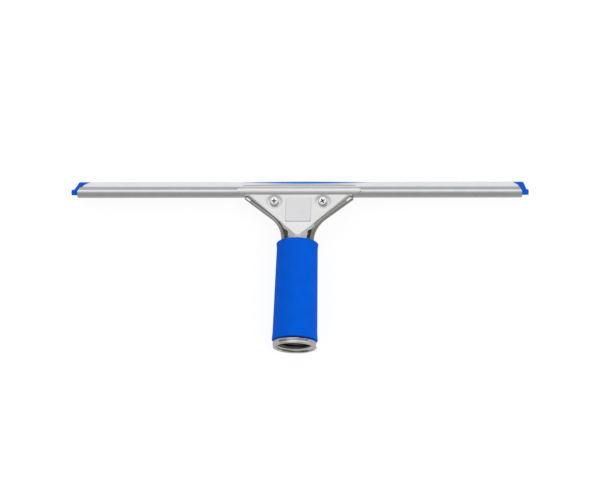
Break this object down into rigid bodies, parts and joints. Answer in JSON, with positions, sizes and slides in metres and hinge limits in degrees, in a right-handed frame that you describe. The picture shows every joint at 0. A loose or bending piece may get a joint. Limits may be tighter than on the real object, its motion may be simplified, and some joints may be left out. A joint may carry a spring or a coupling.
{
  "type": "window squeegee",
  "caption": "Hand squeegee for windows: a pressed-steel handle with a rubber sleeve and screwed jaws that clamp a straight steel channel holding a rubber blade.",
  "frame": {"origin": "middle of the space the squeegee takes up, on the surface it lies on (grip's lower end and blade's edge touch Z = 0)", "axes": "+X along the channel to the viewer's right, +Y from the handle's mouth towards the blade, +Z out of the side with the screw heads"},
  "size_m": [0.3596, 0.1388, 0.036],
  "materials": {
    "pressed_steel": "pressed stainless sheet, satin",
    "satin_steel": "pressed stainless sheet, bright satin",
    "rolled_steel": "polished rolled collar",
    "grip_rubber": "matte blue rubber",
    "channel_steel": "bright folded stainless strip",
    "blade_rubber": "smooth blue rubber",
    "clip_plastic": "moulded blue plastic",
    "polished_steel": "bright pan heads",
    "nut_steel": "plain stainless"
  },
  "bodies": {
    "handle": {"rear_shell": "pressed_steel", "thread_socket": "rolled_steel", "grip_sleeve": "grip_rubber", "nut_left": "nut_steel", "nut_right": "nut_steel"},
    "front": {"front_plate": "satin_steel"},
    "screw_left": {"screw_left": "polished_steel"},
    "screw_right": {"screw_right": "polished_steel"},
    "channel": {"channel": "channel_steel"},
    "blade": {"blade": "blade_rubber"},
    "clip_left": {"end_clip_left": "clip_plastic"},
    "clip_right": {"end_clip_right": "clip_plastic"}
  },
  "joints": [
    {"name": "jaw_open", "type": "hinge", "parent": "handle", "child": "front", "pos_m": [0, 0.0186, 0.0144], "axis": [1, 0, 0], "range_deg": [0, 3.6]},
    {"name": "screw_left_turn", "type": "hinge", "parent": "front", "child": "screw_left", "pos_m": [-0.01905, 0.04879, 0.0186], "axis": [0, 0, 1], "range_deg": [0, 980]},
    {"name": "screw_right_turn", "type": "hinge", "parent": "front", "child": "screw_right", "pos_m": [0.01905, 0.04879, 0.0186], "axis": [0, 0, 1], "range_deg": [0, 980]},
    {"name": "channel_slide", "type": "slide", "parent": "handle", "child": "channel", "axis": [1, 0, 0], "range_m": [-0.11, 0.11]},
    {"name": "blade_draw", "type": "slide", "parent": "channel", "child": "blade", "axis": [1, 0, 0], "range_m": [0, 0.3]},
    {"name": "clip_left_pull", "type": "slide", "parent": "channel", "child": "clip_left", "axis": [-1, 0, 0], "range_m": [0, 0.012]},
    {"name": "clip_right_pull", "type": "slide", "parent": "blade", "child": "clip_right", "axis": [1, 0, 0], "range_m": [0, 0.012]}
  ],
  "couplings": [
    {"joint": "screw_left_turn", "follows": "jaw_open", "ratio": 272.2},
    {"joint": "screw_right_turn", "follows": "jaw_open", "ratio": 272.2}
  ]
}
